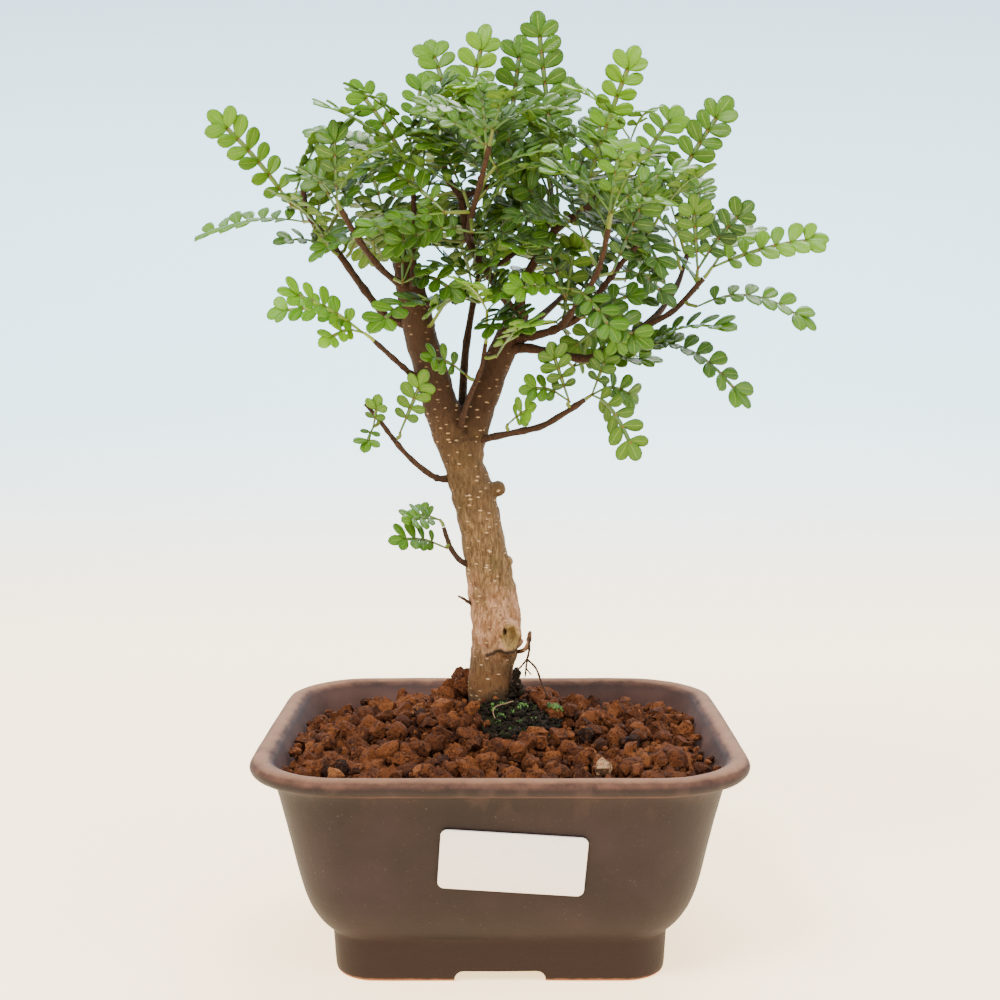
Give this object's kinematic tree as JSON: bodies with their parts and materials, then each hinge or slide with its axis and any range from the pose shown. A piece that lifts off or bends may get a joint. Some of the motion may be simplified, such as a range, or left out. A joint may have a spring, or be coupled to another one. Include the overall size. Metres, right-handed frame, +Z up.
{
  "type": "chinese pepper bonsai in a pot",
  "caption": "Small informal upright bonsai with a forked trunk and pinnate leaves, standing in red-brown grains in a rounded rectangular stoneware pot on feet.",
  "frame": {"origin": "middle of the pot, at the level that its feet stand on, which is also the middle of the object's box at its base", "axes": "+Z up along the tree, -Y towards the front of the tree and the pot's front wall, +X to the right of that view"},
  "size_m": [0.2048, 0.135, 0.2917],
  "materials": {
    "stoneware": "unglazed dark grey-brown stoneware, matte satin, the rim rubbed reddish",
    "red_grains": "porous angular red-brown clay grains, matte",
    "peat_and_moss": "dark peat with specks of green moss, matte",
    "green_plastic": "moulded plastic mesh",
    "white_card": "blank white card, satin",
    "bark": "tan to brown bark with pale lenticels",
    "leaves": "glossy green leaflets on yellow-green ribs"
  },
  "bodies": {
    "root": {"blank_label": "white_card", "drain_mesh": "green_plastic", "peat_patch": "peat_and_moss", "pot": "stoneware", "soil": "red_grains", "spray_back_centre": "leaves", "spray_back_far": "leaves", "spray_back_left": "leaves", "spray_back_right": "leaves", "spray_back_top": "leaves", "spray_centre_tip": "leaves", "spray_front_arch": "leaves", "spray_front_bright": "leaves", "spray_front_centre": "leaves", "spray_front_dark": "leaves", "spray_front_left": "leaves", "spray_front_middle": "leaves", "spray_front_right": "leaves", "spray_inner_1": "leaves", "spray_inner_10": "leaves", "spray_inner_2": "leaves", "spray_inner_3": "leaves", "spray_inner_4": "leaves", "spray_inner_5": "leaves", "spray_inner_6": "leaves", "spray_inner_7": "leaves", "spray_inner_8": "leaves", "spray_inner_9": "leaves", "spray_left_bright": "leaves", "spray_left_crown": "leaves", "spray_left_edge": "leaves", "spray_left_inner": "leaves", "spray_left_low": "leaves", "spray_left_stub": "leaves", "spray_left_tip": "leaves", "spray_low_front": "leaves", "spray_low_small": "leaves", "spray_low_tip": "leaves", "spray_right_bright": "leaves", "spray_right_dark": "leaves", "spray_right_droop": "leaves", "spray_right_fan": "leaves", "spray_right_low": "leaves", "spray_right_tall": "leaves", "spray_right_tip": "leaves", "spray_right_top": "leaves", "spray_top": "leaves", "spray_top_back": "leaves", "spray_top_left": "leaves", "spray_trunk_low": "leaves", "spray_trunk_top": "leaves", "tree_wood": "bark"}
  },
  "joints": []
}
